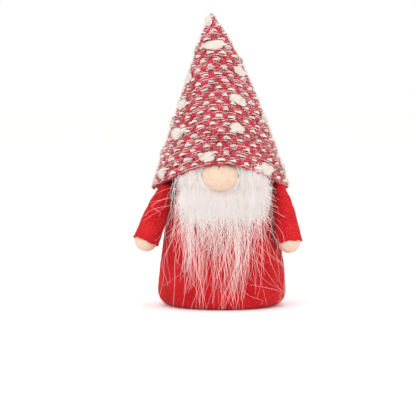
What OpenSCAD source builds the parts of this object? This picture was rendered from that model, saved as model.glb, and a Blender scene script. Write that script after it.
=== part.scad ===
// Tomte gnome figurine: a weighted, stuffed felt body with two hanging sleeves, wooden nose and
// hands, a long faux-fur beard and a tall stuffed knitted hat.
// +Z is up, the face looks along -Y and +X is the figure's own left. Millimetres.

/* [Body] */
// Height from the base to the tip of the hat
total_h = 134; // [128:1:140]
// Largest radius of the stuffed body
body_r = 29.4; // [28:0.1:31]
// Radius of the body where its shoulders begin
neck_r = 24; // [23.4:0.1:24.2]
// Height at which the shoulders of the body begin
neck_z = 47; // [46:0.5:48]
// Height of the gathered top of the body, inside the hat
crown_z = 73; // [71:0.5:75]
// Rounding between the body's side and its base
corner_r = 6.5; // [5:0.5:8]
// Thickness of the red felt
felt_t = 1; // [0.8:0.1:1.2]

/* [Hat] */
// Radius of the hat across the shoulders, at brim_side_z
hat_r = 31.2; // [31:0.1:32]
// Depth of the hat as a share of its width
hat_depth = 0.89; // [0.87:0.01:0.91]
// Thickness of the knitting
knit_t = 1.8; // [1.6:0.1:1.9]
// Height of the brim at the front, over the nose
brim_front_z = 66.2; // [65:0.2:67]
// Height of the brim at the back
brim_back_z = 53.4; // [53:0.2:54]
// How far the tip of the hat leans to the figure's right
tip_lean = 5; // [0:0.5:7]

/* [Face] */
// Radius of the nose across the face
nose_r = 8.2; // [7.5:0.1:8.5]
// Half the height of the nose
nose_half_h = 7.2; // [6.5:0.1:7.4]
// Height of the middle of the nose
nose_z = 60.7; // [60:0.1:61.5]
// Half the width of the beard below the nose
beard_half_w = 19; // [16:0.5:19.5]
// Height at which the beard folds up
beard_fold_z = 51; // [50:0.5:52]

/* [Arms] */
// Distance from the middle plane to each shoulder
shoulder_x = 25.9; // [25.7:0.1:26.3]
// Height of each shoulder
shoulder_z = 52.6; // [52:0.1:52.8]
// How far each shoulder lies in front of the middle of the body
shoulder_front = 8; // [7.5:0.1:8.5]
// Length of a sleeve from the shoulder to the cuff
sleeve_l = 24.6; // [24:0.1:25]
// Outer radius of the cuff
cuff_r = 6; // [5.9:0.05:6.1]
// Radius of a wooden hand
hand_r = 5.2; // [5:0.05:5.25]
// Angle at which the figure's right sleeve hangs out from the body
splay_right = 21.5; // [20:0.5:24]
// Angle at which the figure's left sleeve hangs out from the body
splay_left = 11.5; // [11:0.5:14]

/* [Hidden] */

felt_red = "#c8202c";
knit_red = "#b0384a";
wood = "#ecd0b0";
fur_white = "#ece4dc";
fibre_white = "#f4f2ee";
thread_red = "#8c1420";
glue_clear = "#d8d2c0";

gap = 0.15;                          // play between pieces that lie in each other
left = 1;                            // +X is the figure's own left
right = -1;

brim_side_z = total_h - 79.1;        // where the hat is hat_r wide
hat_fullness = 0.82;                 // below 1 the cone bulges between tip and brim
brim_arch = 4.2;                     // how steeply the brim rises towards the face
back_flatness = 0.03;                // the hat is this much shallower behind and deeper in front
hat_centre_x = -0.8;
nose_bulge = 7.6;                    // how far the brim is pushed out where it drapes over the nose
nose_bulge_angle = 27;
nose_bulge_h = 13;
stuffing_z = 68.6;                   // underside of the hat's stuffing

nose_x = -1;
nose_flat_tilt = 28;                 // the glued flat faces down and back, square to the face
nose_flat_z = 55;                    // where the flat comes nearest to the body
nose_flat_depth = 4.5;               // from the middle of the nose to its flat
backing_t = 0.8;
beard_top_z = 65;
pile_t = 3.5;
fold_bevel = 2.4;                    // both sides of the fold are bevelled over this height
flap_backing_z = 42;                 // the backing ends here, and only hair hangs below
pile_tip_z = 2;
beard_taper = 5;                     // the beard is this much narrower on each side at its tip
beard_bend_r = 42;

panel_t = 1.2;
base_r = body_r - corner_r;
card_t = 1.2;
pouch_r = 21;
pouch_h = 13;
pouch_t = 0.6;
pouch_z = panel_t + card_t + 2 * gap;

sleeve_t = 0.6;
sleeve_top = 1.2;                    // the sleeve's closed end stands this far above the shoulder
pinch_x = 2.6;                       // the closed end is pinched flat against the body
pinch_y = 4.4;
tilt_left = 16;                      // the sleeves also hang a little forwards
tilt_right = 9;
hand_s = sleeve_l - 0.7;             // distance of the hand's centre from the shoulder

// ---- shapes shared by several pieces ----

// Radius of the body's outside at height z.
function side_r(z) =
    let (share = max(0, z - corner_r) / (neck_z - corner_r))
    body_r - (body_r - neck_r) * pow(share, 1.4);
function crown_r(z) = neck_r * pow(1 - pow((z - neck_z) / (crown_z - neck_z), 1.4), 0.6);
function body_at(z) = z < neck_z ? side_r(z) : crown_r(z);

// Half outline of the body, moved inwards by inset, from the base to the crown.
function body_outline(inset = 0, from_z = 0) = concat(
    [for (a = [0:15:75])
        [base_r + (corner_r - inset) * sin(a), corner_r - (corner_r - inset) * cos(a)]],
    [for (k = [0:5])
        let (z = corner_r + (neck_z - corner_r) * k / 6) [side_r(z) - inset, z]],
    [for (share = [0, 0.12, 0.24, 0.36, 0.48, 0.6, 0.7, 0.8, 0.88, 0.94, 0.98])
        let (z = neck_z + (crown_z - neck_z) * share)
        [crown_r(z) - inset * (1 - share), z - inset * share]]
);

module turned(outline, z_top) {
    rotate_extrude($fn = 96)
        polygon(concat([[0, outline[0][1]]], outline, [[0, z_top]]));
}

// Solid body shape, moved inwards (or outwards) by inset.
module body_solid(inset = 0) {
    turned(body_outline(inset), crown_z - inset);
}

// Joins rings of points into one closed skin, from the first ring's cap to the last ring's cap.
// Each cap is a strip across its ring, from point j to point n - 1 - j, so a bent ring may be thin.
module skin(rings) {
    n = len(rings[0]);
    last = len(rings) - 1;
    strip = [for (j = [0:n / 2 - 2]) each [[j, j + 1, n - 2 - j], [j, n - 2 - j, n - 1 - j]]];
    faces = concat(
        [for (t = strip) [t[2], t[1], t[0]]],
        [for (i = [0:last - 1], j = [0:n - 1])
            let (a = i * n + j, b = i * n + (j + 1) % n) [a, b, b + n]],
        [for (i = [0:last - 1], j = [0:n - 1])
            let (a = i * n + j, b = i * n + (j + 1) % n) [a, b + n, a + n]],
        [for (t = strip) [last * n + t[0], last * n + t[1], last * n + t[2]]]
    );
    polyhedron([for (ring = rings) each ring], faces);
}

// ---- the hat's surface ----

// Height of the brim; turn is 0 at the face and 180 at the back.
function brim_z(turn) =
    brim_back_z + (brim_front_z - brim_back_z) * pow((1 + cos(turn)) / 2, brim_arch);
function hat_half_w(z) =
    hat_r * pow(max(0, (total_h - z) / (total_h - brim_side_z)), hat_fullness);
function hat_x(z) =
    let (rise = min(1, max(0, (z - brim_side_z) / (total_h - brim_side_z))))
    hat_centre_x - (tip_lean + hat_centre_x) * pow(rise, 3);
function drape(turn, z) =
    let (away = turn > 180 ? turn - 360 : turn)
    nose_bulge * exp(-pow(away / nose_bulge_angle, 2))
        * exp(-pow(max(0, z - brim_front_z) / nose_bulge_h, 2));
// A point on the hat, inset from the outside of the knitting.
function hat_point(turn, z, inset) =
    let (w = max(0.3, hat_half_w(z) - inset),
         deep = hat_depth + back_flatness * cos(turn),
         d = max(0.3, hat_half_w(z) * deep - inset) + drape(turn, z))
    [hat_x(z) + w * sin(turn), -d * cos(turn), z];
// One ring of the hat: share is 0 at the tip and 1 at the brim.
function hat_ring(share, inset, top_z, bottom_z = -1, n = 56) =
    [for (j = [0:n - 1])
        let (turn = 360 * j / n,
             low = bottom_z < 0 ? brim_z(turn) : bottom_z)
        hat_point(turn, top_z - (top_z - low) * share, inset)];

module hat_shell() {
    outer = [for (k = [0:15]) hat_ring(pow(k / 15, 1.3), 0, total_h)];
    inner = [for (k = [13:-1:0]) hat_ring(pow(k / 13, 1.3), knit_t, total_h - 4.5)];
    skin(concat(outer, inner));
}

// ---- the body ----

module body_bag() {
    color(felt_red)
    difference() {
        body_solid();
        body_solid(felt_t);
        translate([0, 0, -1])
            cylinder(r = base_r, h = panel_t + 1, $fn = 96);
    }
}

module base_panel() {
    color(felt_red)
    cylinder(r = base_r - gap, h = panel_t, $fn = 96);
}

module base_card() {
    color("#b89868")
    translate([0, 0, panel_t + gap])
        cylinder(r = base_r - 2, h = card_t, $fn = 96);
}

// A flat cushion shape: round edges and flat faces.
module cushion(r, h) {
    round_r = h / 2;
    rim = [for (a = [0:15:180]) [r - round_r + round_r * sin(a), round_r - round_r * cos(a)]];
    rotate_extrude($fn = 72)
        polygon(concat([[0, 0]], rim, [[0, h]]));
}

module ballast_pouch() {
    color("#e6e0d0")
    translate([0, 0, pouch_z])
        difference() {
            cushion(pouch_r, pouch_h);
            translate([0, 0, pouch_t])
                cushion(pouch_r - pouch_t, pouch_h - 2 * pouch_t);
        }
}

module ballast_grains() {
    color("#c8b088")
    translate([0, 0, pouch_z + pouch_t + gap])
        cushion(pouch_r - pouch_t - gap, pouch_h - 2 * (pouch_t + gap));
}

module body_stuffing() {
    color(fibre_white)
    difference() {
        body_solid(felt_t + gap);
        translate([0, 0, pouch_z - gap])
            cushion(pouch_r + gap, pouch_h + 2 * gap);
        translate([0, 0, -1])
            cylinder(r = body_r, h = pouch_z + 2, $fn = 96);
    }
}

// The seam that joins the base panel to the bag, inside the corner.
module base_seam_thread() {
    thread_r = 0.35;
    color(thread_red)
    translate([0, 0, corner_r - sqrt(pow(corner_r - felt_t, 2) - 0.64) + thread_r + 0.06])
        rotate_extrude($fn = 72)
            translate([base_r + 0.8, 0])
                circle(r = thread_r, $fn = 16);
}

// Hand stitches that close the back of the bag after stuffing.
module closing_stitches() {
    stitch_r = 0.3;
    color(thread_red)
    for (z = [12:3.2:40])
        translate([-1.3, body_at(z) + stitch_r + 0.12, z])
            rotate([0, 90, 0])
                cylinder(r = stitch_r, h = 2.6, $fn = 16);
}

// The thread that draws the top of the bag together.
module crown_gather_thread() {
    color(thread_red)
    translate([0, 0, crown_z + 0.5])
        rotate_extrude($fn = 48)
            translate([3, 0])
                circle(r = 0.45, $fn = 16);
}

// ---- the hat ----

module hat_knit() {
    color(knit_red)
    hat_shell();
}

module hat_stuffing() {
    inset = knit_t + 0.6;
    rings = [for (k = [0:11])
        hat_ring(pow(k / 11, 1.2), inset, total_h - 7.5, stuffing_z, 40)];
    color(fibre_white)
    difference() {
        skin(rings);
        body_solid(-0.3);
        translate([0, 0, crown_z - 1])
            cylinder(r = 4, h = 2.2, $fn = 48);
    }
}

// Yarn stitches across the seam at the back of the hat.
module hat_seam_yarn() {
    yarn_r = 0.5;
    first_z = brim_back_z + 2;
    pitch = 5.4;
    color(knit_red)
    for (k = [0:12])
        let (z = first_z + k * pitch,
             half = min(2.2, hat_half_w(z) * 0.25))
        translate([hat_x(z) - half, hat_half_w(z) * (hat_depth - back_flatness) + yarn_r + 0.3, z])
            rotate([0, 90, 0])
                cylinder(r = yarn_r, h = 2 * half, $fn = 16);
}

// Bead of glue on the back and sides of the bag that holds the hat.
module hat_glue_bead() {
    bead_r = 0.85;
    bead_z = 59;
    color(glue_clear)
    translate([0, 0, bead_z])
        rotate([0, 0, -10])
            rotate_extrude(angle = 200, $fn = 72)
                translate([body_at(bead_z) + bead_r + 0.25, 0])
                    circle(r = bead_r, $fn = 16);
}

// ---- the face ----

// Places its children at the middle of the nose.
module at_nose() {
    flat_y = -(body_at(nose_flat_z) + backing_t + 5 * gap);
    back = (nose_flat_depth - sin(nose_flat_tilt) * (nose_z - nose_flat_z)) / cos(nose_flat_tilt);
    translate([nose_x, flat_y - back, nose_z])
        children();
}

module nose_ball() {
    rotate_extrude($fn = 64)
        polygon([for (a = [-90:7.5:90]) [nose_r * cos(a), nose_half_h * sin(a)]]);
}

// A block behind the nose's flat, moved back by away.
module behind_flat(away = 0) {
    rotate([-nose_flat_tilt, 0, 0])
        translate([-15, nose_flat_depth + away, -15])
            cube(30);
}

module nose() {
    color(wood)
    at_nose()
        difference() {
            nose_ball();
            behind_flat();
        }
}

// The dab of glue between the nose's flat and the beard's backing.
module nose_glue() {
    color(glue_clear)
    at_nose()
        rotate([-nose_flat_tilt, 0, 0])
            translate([0, nose_flat_depth + 0.02, 0])
                rotate([-90, 0, 0])
                    cylinder(r = 3.2, h = 0.16, $fn = 32);
}

// Half the beard's width at height z.
function beard_half(z) =
    z > beard_fold_z
        ? beard_half_w - 4 * (z - beard_fold_z) / (beard_top_z - beard_fold_z)
        : beard_half_w - beard_taper * (beard_fold_z - z) / (beard_fold_z - pile_tip_z);
// Radius to which the beard is curved: flatter than the body at the fold, so that it swings clear.
function beard_bend(z) =
    let (share = min(1, max(0, (z - beard_fold_z) / 9)))
    beard_bend_r + (body_at(beard_fold_z) - beard_bend_r) * share * 0.6;
function beard_point(x, z, off) =
    let (bend = beard_bend(z))
    [x, -(body_at(max(z, corner_r)) + off) + bend - sqrt(bend * bend - x * x), z];

// The beard thins to almost nothing behind the nose.
function nose_notch(x, z) =
    min(1, max(0.05, (norm([x - nose_x, 1.12 * (z - nose_z)]) - nose_r - 0.9) / 2.5));

// One ring round a slice of the beard at height z, off the body by off and t thick.
function beard_ring(z, off, t, around_nose) =
    let (n = 16, half = beard_half(z), lip = 0.35)
    concat(
        [for (k = [0:n]) beard_point(-half + 2 * half * k / n, z, off)],
        [for (k = [n:-1:0])
            let (share = 2 * k / n - 1,
                 thick = t * (lip + (1 - lip) * (1 - pow(share, 4))))
            beard_point(half * share, z, off + thick * (around_nose ? nose_notch(half * share, z) : 1))]
    );

// A slab of the beard through stations, each [height, thickness].
module beard_slab(off, stations, around_nose = false) {
    skin([for (station = stations) beard_ring(station[0], off, station[1], around_nose)]);
}

module beard_backing_top() {
    color(fur_white)
    beard_slab(gap, [for (k = [0:7])
        [beard_fold_z + 2 * gap + (beard_top_z - beard_fold_z - 2 * gap) * k / 7, backing_t]]);
}

module beard_backing_flap() {
    color(fur_white)
    beard_slab(gap, [for (k = [0:4])
        [flap_backing_z + (beard_fold_z - flap_backing_z) * k / 4, backing_t]]);
}

// Hair of the part that is glued to the body. Its lower edge is bevelled to let the flap fold up.
module beard_pile_top() {
    low = beard_fold_z + 2 * gap;
    color(fur_white)
    beard_slab(backing_t + 2 * gap, [
        [low, 0.3], [low + fold_bevel / 2, 1.9], [low + fold_bevel, pile_t], [55.5, pile_t - 0.4],
        [57.5, 2.8], [59.5, 2.4], [61.5, 1.9], [beard_top_z - 1.5, 1.2],
    ], true);
}

// Hair that hangs free: thick where it grows from the backing, thin where only long hairs reach.
module beard_pile_flap() {
    high = beard_fold_z;
    color(fur_white)
    beard_slab(backing_t + 2 * gap, [
        [pile_tip_z, 0.9], [8, 1.2], [15, 1.7], [22, 2.3], [27, 2.8], [33, 3.1],
        [39, 3.4], [high - fold_bevel - 3, pile_t], [high - fold_bevel, pile_t], [high, 0.3],
    ]);
}

// ---- the arms, each drawn hanging straight down from its shoulder ----

// Half widths of the sleeve, side to side and front to back, at distance s below the shoulder.
function sleeve_half_x(s) =
    let (share = max(0, s) / sleeve_l)
    s < 0 ? pinch_x * sqrt(max(0, 1 - pow(s / (sleeve_top + 0.05), 2)))
          : pinch_x + (cuff_r - pinch_x) * pow(share, 0.8);
function sleeve_half_y(s) =
    let (share = max(0, s) / sleeve_l)
    s < 0 ? pinch_y * sqrt(max(0, 1 - pow(s / (sleeve_top + 0.05), 2)))
          : pinch_y + (cuff_r - pinch_y) * share;

function sleeve_ring(s, inset, n = 28) =
    [for (j = [0:n - 1])
        let (turn = 360 * j / n)
        [(sleeve_half_x(s) - inset) * cos(turn), (sleeve_half_y(s) - inset) * sin(turn), -s]];

module sleeve_shell() {
    top_steps = [-sleeve_top, -1.1, -0.8, -0.4];
    long_steps = [for (k = [0:7]) sleeve_l * k / 7];
    outer = [for (s = concat(top_steps, long_steps)) sleeve_ring(s, 0)];
    inner = [for (s = [sleeve_l, 20, 15, 10, 5, 2, 0, -0.5]) sleeve_ring(s, sleeve_t)];
    skin(concat(outer, inner));
}

module sleeve_filling() {
    last = hand_s - hand_r - 0.2;
    skin([for (s = [-0.3, 0, 2, 5, 10, 15, last]) sleeve_ring(s, sleeve_t + gap)]);
}

module hand_glue_ring() {
    s = hand_s - 4;
    translate([0, 0, -s])
        rotate_extrude($fn = 40)
            translate([sleeve_half_x(s) - sleeve_t - 0.6, 0])
                circle(r = 0.35, $fn = 16);
}

// A loop of doubled thread just above the sleeve's closed end, on its inner side.
module shoulder_loop(side) {
    thread_r = 0.35;
    translate([-side * 1.6, 0, 3.3])
        rotate([0, 90, 0])
            rotate_extrude($fn = 40)
                translate([1.1, 0])
                    circle(r = thread_r, $fn = 16);
}

module at_shoulder(side) {
    splay = side > 0 ? splay_left : splay_right;
    tilt = side > 0 ? tilt_left : tilt_right;
    translate([side * shoulder_x, -shoulder_front, shoulder_z])
        rotate([0, -side * splay, 0])
            rotate([-tilt, 0, 0])
                children();
}

module sleeve(side) {
    color(felt_red)
    at_shoulder(side)
        sleeve_shell();
}

module sleeve_stuffing(side) {
    color(fibre_white)
    at_shoulder(side)
        sleeve_filling();
}

module hand(side) {
    color(wood)
    at_shoulder(side)
        translate([0, 0, -hand_s])
            sphere(r = hand_r, $fn = 64);
}

module hand_glue(side) {
    color(glue_clear)
    at_shoulder(side)
        hand_glue_ring();
}

module shoulder_thread(side) {
    color(thread_red)
    translate([side * shoulder_x, -shoulder_front, shoulder_z])
        shoulder_loop(side);
}

module left_shoulder_thread() { shoulder_thread(left); }
module left_sleeve() { sleeve(left); }
module left_sleeve_stuffing() { sleeve_stuffing(left); }
module left_hand() { hand(left); }
module left_hand_glue() { hand_glue(left); }
module right_shoulder_thread() { shoulder_thread(right); }
module right_sleeve() { sleeve(right); }
module right_sleeve_stuffing() { sleeve_stuffing(right); }
module right_hand() { hand(right); }
module right_hand_glue() { hand_glue(right); }

body_bag();
base_panel();
base_card();
ballast_pouch();
ballast_grains();
body_stuffing();
base_seam_thread();
closing_stitches();
crown_gather_thread();
hat_knit();
hat_stuffing();
hat_seam_yarn();
hat_glue_bead();
nose();
nose_glue();
beard_backing_top();
beard_pile_top();
beard_backing_flap();
beard_pile_flap();
left_shoulder_thread();
left_sleeve();
left_sleeve_stuffing();
left_hand();
left_hand_glue();
right_shoulder_thread();
right_sleeve();
right_sleeve_stuffing();
right_hand();
right_hand_glue();
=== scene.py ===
import math
import bpy
import numpy as np
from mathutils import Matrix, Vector, noise


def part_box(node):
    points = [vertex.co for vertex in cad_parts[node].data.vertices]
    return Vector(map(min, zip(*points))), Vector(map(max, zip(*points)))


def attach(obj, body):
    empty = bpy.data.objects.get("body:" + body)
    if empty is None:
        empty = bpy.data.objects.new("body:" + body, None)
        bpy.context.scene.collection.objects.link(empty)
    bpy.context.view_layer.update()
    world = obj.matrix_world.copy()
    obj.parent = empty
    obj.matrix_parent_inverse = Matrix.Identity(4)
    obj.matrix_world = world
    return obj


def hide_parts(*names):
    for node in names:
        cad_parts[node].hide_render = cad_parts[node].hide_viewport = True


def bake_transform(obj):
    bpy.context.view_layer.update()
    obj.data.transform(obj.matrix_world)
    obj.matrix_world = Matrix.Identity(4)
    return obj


# A stuffed felt gnome. Lengths in the dictionaries are millimetres and angles are degrees.
# "turn" goes round the figure: 0 at the face, 90 at the figure's left side (+X), 180 at the back.

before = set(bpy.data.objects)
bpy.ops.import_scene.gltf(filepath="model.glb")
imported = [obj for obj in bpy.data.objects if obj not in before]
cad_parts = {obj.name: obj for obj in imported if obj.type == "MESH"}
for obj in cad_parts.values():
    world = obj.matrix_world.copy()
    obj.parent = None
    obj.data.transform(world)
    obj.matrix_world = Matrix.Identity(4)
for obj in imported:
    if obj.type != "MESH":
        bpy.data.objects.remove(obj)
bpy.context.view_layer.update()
scene = bpy.context.scene
scene.view_settings.view_transform = "Standard"
print("frame loaded:", len(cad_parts), "nodes")


# ---- colours and materials ----

def toLinear(hexColour):
    parts = [int(hexColour[i:i + 2], 16) / 255 for i in (1, 3, 5)]
    return [p / 12.92 if p <= 0.04045 else ((p + 0.055) / 1.055) ** 2.4 for p in parts] + [1.0]


def addNode(tree, kind, settings, links=()):
    # Adds a node, sets its properties or inputs, and links outputs into its inputs.
    node = tree.nodes.new(kind)
    for name, value in settings.items():
        if isinstance(name, str) and hasattr(node, name):
            setattr(node, name, value)
        else:
            node.inputs[name].default_value = value
    for name, output in dict(links).items():
        tree.links.new(output, node.inputs[name])
    return node


def newMaterial(name, settings):
    material = bpy.data.materials.new(name)
    material.use_nodes = True
    tree = material.node_tree
    shader = tree.nodes["Principled BSDF"]
    for socket, value in settings.items():
        shader.inputs[socket].default_value = value
    return material, tree, shader


def colourRamp(tree, factor, stops):
    ramp = addNode(tree, "ShaderNodeValToRGB", {}, {"Fac": factor})
    elements = ramp.color_ramp.elements
    while len(elements) < len(stops):
        elements.new(0.5)
    for element, (place, hexColour) in zip(elements, stops):
        element.position = place
        element.color = toLinear(hexColour)
    return ramp.outputs["Color"]


def addBump(tree, shader, height, strength, depth):
    bump = addNode(tree, "ShaderNodeBump", {"Strength": strength, "Distance": depth * 0.001},
                   {"Height": height})
    tree.links.new(bump.outputs["Normal"], shader.inputs["Normal"])


def perMm(size):
    # noise scale whose features are about this many millimetres across
    return 1000 / size


def specks(tree, size, detail=2.0, roughness=0.5, place=None):
    # Noise that is fixed to the piece, with features about size millimetres across.
    if place is None:
        place = addNode(tree, "ShaderNodeTexCoord", {}).outputs["Object"]
    settings = {"Scale": perMm(size), "Detail": detail, "Roughness": roughness}
    return addNode(tree, "ShaderNodeTexNoise", settings, {"Vector": place}).outputs["Fac"]


def paint(tree, shader, factor, stops):
    tree.links.new(colourRamp(tree, factor, stops), shader.inputs["Base Color"])


def makeFelt(name, dark, middle, light):
    # Needle-punched polyester felt: dead matte, faintly mottled, with a pale bloom at grazing angles.
    material, tree, shader = newMaterial(name, {
        "Roughness": 0.95, "IOR": 1.45, "Specular IOR Level": 0.2,
        "Sheen Weight": 0.12, "Sheen Roughness": 0.5, "Sheen Tint": toLinear("#ff7a74"),
    })
    # real fibres are 0.02 mm: drawn at 0.7 mm so that the mottling shows
    mottle = specks(tree, 0.7, 6.0, 0.75)
    clouds = addNode(tree, "ShaderNodeMath", {"operation": "MULTIPLY", 1: 0.35}, {0: specks(tree, 9)})
    both = addNode(tree, "ShaderNodeMath", {"operation": "MULTIPLY_ADD", 1: 0.65},
                   {0: mottle, 2: clouds.outputs[0]})
    paint(tree, shader, both.outputs[0], [(0.36, dark), (0.5, middle), (0.66, light)])
    addBump(tree, shader, mottle, 0.55, 0.35)
    return material


def makeFibre(name, stops, roughness=0.7, sheen=0.0, grain=1.6, glow=0.0):
    # Spun or loose fibre: its colour comes from each strand's "tone", which in the knit's yarn and the
    # beard's deep hair also carries painted shade. Glow stands in for the light that white hairs pass on to
    # each other.
    material, tree, shader = newMaterial(name, {
        "Roughness": roughness, "IOR": 1.5, "Specular IOR Level": 0.25,
        "Sheen Weight": sheen, "Sheen Roughness": 0.5, "Emission Strength": glow,
        "Emission Color": toLinear("#fff4ec"),
    })
    tone = addNode(tree, "ShaderNodeAttribute", {"attribute_name": "tone"})
    speck = specks(tree, grain, 4.0, 0.7)
    shift = addNode(tree, "ShaderNodeMath", {"operation": "MULTIPLY_ADD", 1: 0.5, 2: -0.25}, {0: speck})
    total = addNode(tree, "ShaderNodeMath", {"operation": "ADD", "use_clamp": True},
                    {0: tone.outputs["Fac"], 1: shift.outputs[0]})
    paint(tree, shader, total.outputs[0], stops)
    addBump(tree, shader, speck, 0.4, 0.12)
    return material


def makeCloth(name, dark, light, size, roughness=0.9, bump=0.4, sheen=0.2):
    # Plain cloth, fill or card: two close colours mixed at a real thread or fibre size.
    material, tree, shader = newMaterial(name, {
        "Roughness": roughness, "IOR": 1.45, "Specular IOR Level": 0.25, "Sheen Weight": sheen,
    })
    speck = specks(tree, size, 5.0, 0.65)
    paint(tree, shader, speck, [(0.35, dark), (0.65, light)])
    addBump(tree, shader, speck, bump, size * 0.3)
    return material


def makeBeech(name):
    # Sanded bare beech: warm cream, fine darker flecks along the grain, only a faint sheen.
    material, tree, shader = newMaterial(name, {
        "Roughness": 0.58, "IOR": 1.5, "Specular IOR Level": 0.35, "Subsurface Weight": 0.12,
        "Subsurface Scale": 0.0012, "Subsurface Radius": (1.0, 0.6, 0.35),
    })
    place = addNode(tree, "ShaderNodeTexCoord", {}).outputs["Object"]
    # beech flecks are about 0.3 mm wide and 2 mm long
    along = addNode(tree, "ShaderNodeMapping", {"Scale": (3.2, 3.2, 0.5)}, {"Vector": place})
    fleck = specks(tree, 1.5, 4.0, 0.6, along.outputs[0])
    ring = addNode(tree, "ShaderNodeTexWave",
                   {"Scale": perMm(9), "Distortion": 3.0, "Detail": 2.0, "bands_direction": "X"},
                   {"Vector": place})
    both = addNode(tree, "ShaderNodeMath", {"operation": "MULTIPLY_ADD", 1: 0.05},
                   {0: ring.outputs["Fac"], 2: fleck})
    paint(tree, shader, both.outputs[0], [(0.25, "#c9ab94"), (0.5, "#dac0aa"), (0.8, "#e4ccb6")])
    addBump(tree, shader, fleck, 0.2, 0.1)
    return material


def makeSetGlue(name):
    # Hot-melt glue: milky, smooth, a little translucent.
    material, tree, shader = newMaterial(name, {
        "Roughness": 0.32, "IOR": 1.48, "Subsurface Weight": 0.4, "Subsurface Scale": 0.001,
    })
    cloud = specks(tree, 2)
    paint(tree, shader, cloud, [(0.3, "#cfc8b4"), (0.7, "#e6e0cf")])
    addBump(tree, shader, cloud, 0.2, 0.2)
    return material


bodyFelt = makeFelt("bodyFelt", "#980a12", "#bd121b", "#cf2a2f")
sleeveFelt = makeFelt("sleeveFelt", "#9c0c14", "#c2161f", "#d43236")
crimsonWool = makeFibre("crimsonWool", [(0.0, "#84101f"), (0.5, "#bf1f36"), (1.0, "#d63a4c")], 0.85, 0.15)
marledWool = makeFibre("marledWool", [(0.0, "#b98a8c"), (0.35, "#dcc4c1"), (0.7, "#efe3dc"),
                                      (1.0, "#faf4ee")], 0.85, 0.3)
creamWool = makeFibre("creamWool", [(0.0, "#b5a59a"), (0.5, "#cdbfb5"), (1.0, "#e2d7ce")], 0.9, 0.2, 0.8)
woolFuzz = makeFibre("woolFuzz", [(0.0, "#b02a3a"), (0.45, "#dba3a4"), (1.0, "#fbf4ee")], 0.9, 0.2)
# the knit's ground is painted dark red: painted shade for the gaps between the strands
knitGroundShade = makeCloth("knitGroundShade", "#5c0c18", "#94202e", 1.1, 0.95, 0.8)
feltFuzz = makeFibre("feltFuzz", [(0.0, "#a8151d"), (1.0, "#e86a66")], 0.95, 0.2)
furHair = makeFibre("furHair", [(0.0, "#e4dad6"), (0.4, "#f8f1ee"), (1.0, "#fffaf7")], 0.5, 0.3, 3.0, 0.09)
furDown = makeCloth("furDown", "#f1e9e4", "#ffffff", 0.9, 0.9, 0.9, 0.4)
furBacking = makeCloth("furBacking", "#d9d0c6", "#efe8df", 0.6)
fibreFill = makeCloth("fibreFill", "#e8e8e4", "#fbfbf8", 1.4, 0.9, 0.8)
pouchCloth = makeCloth("pouchCloth", "#cfc8b6", "#e8e2d2", 0.5)
greyCard = makeCloth("greyCard", "#a98d62", "#c2a77c", 0.8, 0.85, 0.2, 0.0)
drySand = makeCloth("drySand", "#a58e62", "#d9c596", 0.5, 0.95, 0.6, 0.0)
sewingThread = makeFibre("sewingThread", [(0.0, "#5e0a14"), (0.5, "#8c1420"), (1.0, "#b03a40")], 0.6)
bareBeech = makeBeech("bareBeech")
setGlue = makeSetGlue("setGlue")
print("materials made")


# ---- mesh helpers: points come in millimetres ----

def meshPiece(name, points, faces, material, body=None, slot=None, tone=None):
    mesh = bpy.data.meshes.new(name)
    faces = faces if isinstance(faces, list) else faces.tolist()
    mesh.from_pydata((np.asarray(points) * 0.001).tolist(), [], faces)
    mesh.validate()
    mesh.shade_smooth()
    mesh.materials.append(material)
    if tone is not None:
        attribute = mesh.attributes.new("tone", "FLOAT", "POINT")
        attribute.data.foreach_set("value", np.asarray(tone, np.float32))
    piece = bpy.data.objects.new(name, mesh)
    scene.collection.objects.link(piece)
    if body:
        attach(piece, body)
    return piece


def unit(v):
    return v / np.maximum(np.linalg.norm(v, axis=-1, keepdims=True), 1e-9)


def ripple(points, size, seed, octaves=2):
    # Smooth noise from -1 to 1 at points, with features about size across.
    shift = Vector((seed * 7.3, seed * 3.1, seed * 5.7))
    return np.array([noise.fractal(Vector(p) / size + shift, 0.8, 2.0, octaves) for p in points])


def circle(count):
    return np.linspace(0, 2 * math.pi, count, endpoint=False)


def onCircle(radius, turn, z):
    # Points round the figure's axis.
    return np.stack([radius * np.sin(turn), -radius * np.cos(turn), z + 0 * turn], -1)


def lathe(outline, around):
    # Rings of points for an outline of (radius, height), turned round the figure's axis.
    return np.stack([onCircle(r, circle(around), z) for r, z in outline])


def ringFaces(rings, around):
    # Quads between rings of points that were laid out one ring after another.
    i, j = np.meshgrid(np.arange(rings - 1), np.arange(around), indexing="ij")
    a = i * around + j
    b = i * around + (j + 1) % around
    return np.stack([a, b, b + around, a + around], -1).reshape(-1, 4)


def gridPiece(name, rings, material, caps=(True, True), **more):
    # A skin over rings [ring, around, xyz], with its first and last ring filled.
    count, around = rings.shape[:2]
    faces = ringFaces(count, around).tolist()
    if caps[0]:
        faces.append(list(range(around))[::-1])
    if caps[1]:
        faces.append(list(range((count - 1) * around, count * around)))
    return meshPiece(name, rings.reshape(-1, 3), faces, material, **more)


def tubes(paths, radii, sides=3, lift=None):
    # Points and quads of many tubes at once: paths [tube, point, xyz], radii [tube, point]. Their
    # rings are set out from the direction lift, which must not run along a path.
    count, steps = paths.shape[:2]
    along = unit(np.gradient(paths, axis=1))
    guide = np.broadcast_to([0.31, -0.93, 0.2] if lift is None else lift, paths.shape)
    across = unit(np.cross(along, guide))
    up = np.cross(across, along)
    angle = np.arange(sides) * 2 * math.pi / sides
    ring = (across[:, :, None] * np.cos(angle)[None, None, :, None]
            + up[:, :, None] * np.sin(angle)[None, None, :, None])
    points = paths[:, :, None] + ring * radii[:, :, None, None]
    one = ringFaces(steps, sides)
    faces = (one[None] + (np.arange(count) * steps * sides)[:, None, None]).reshape(-1, 4)
    return points.reshape(-1, 3), faces


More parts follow.
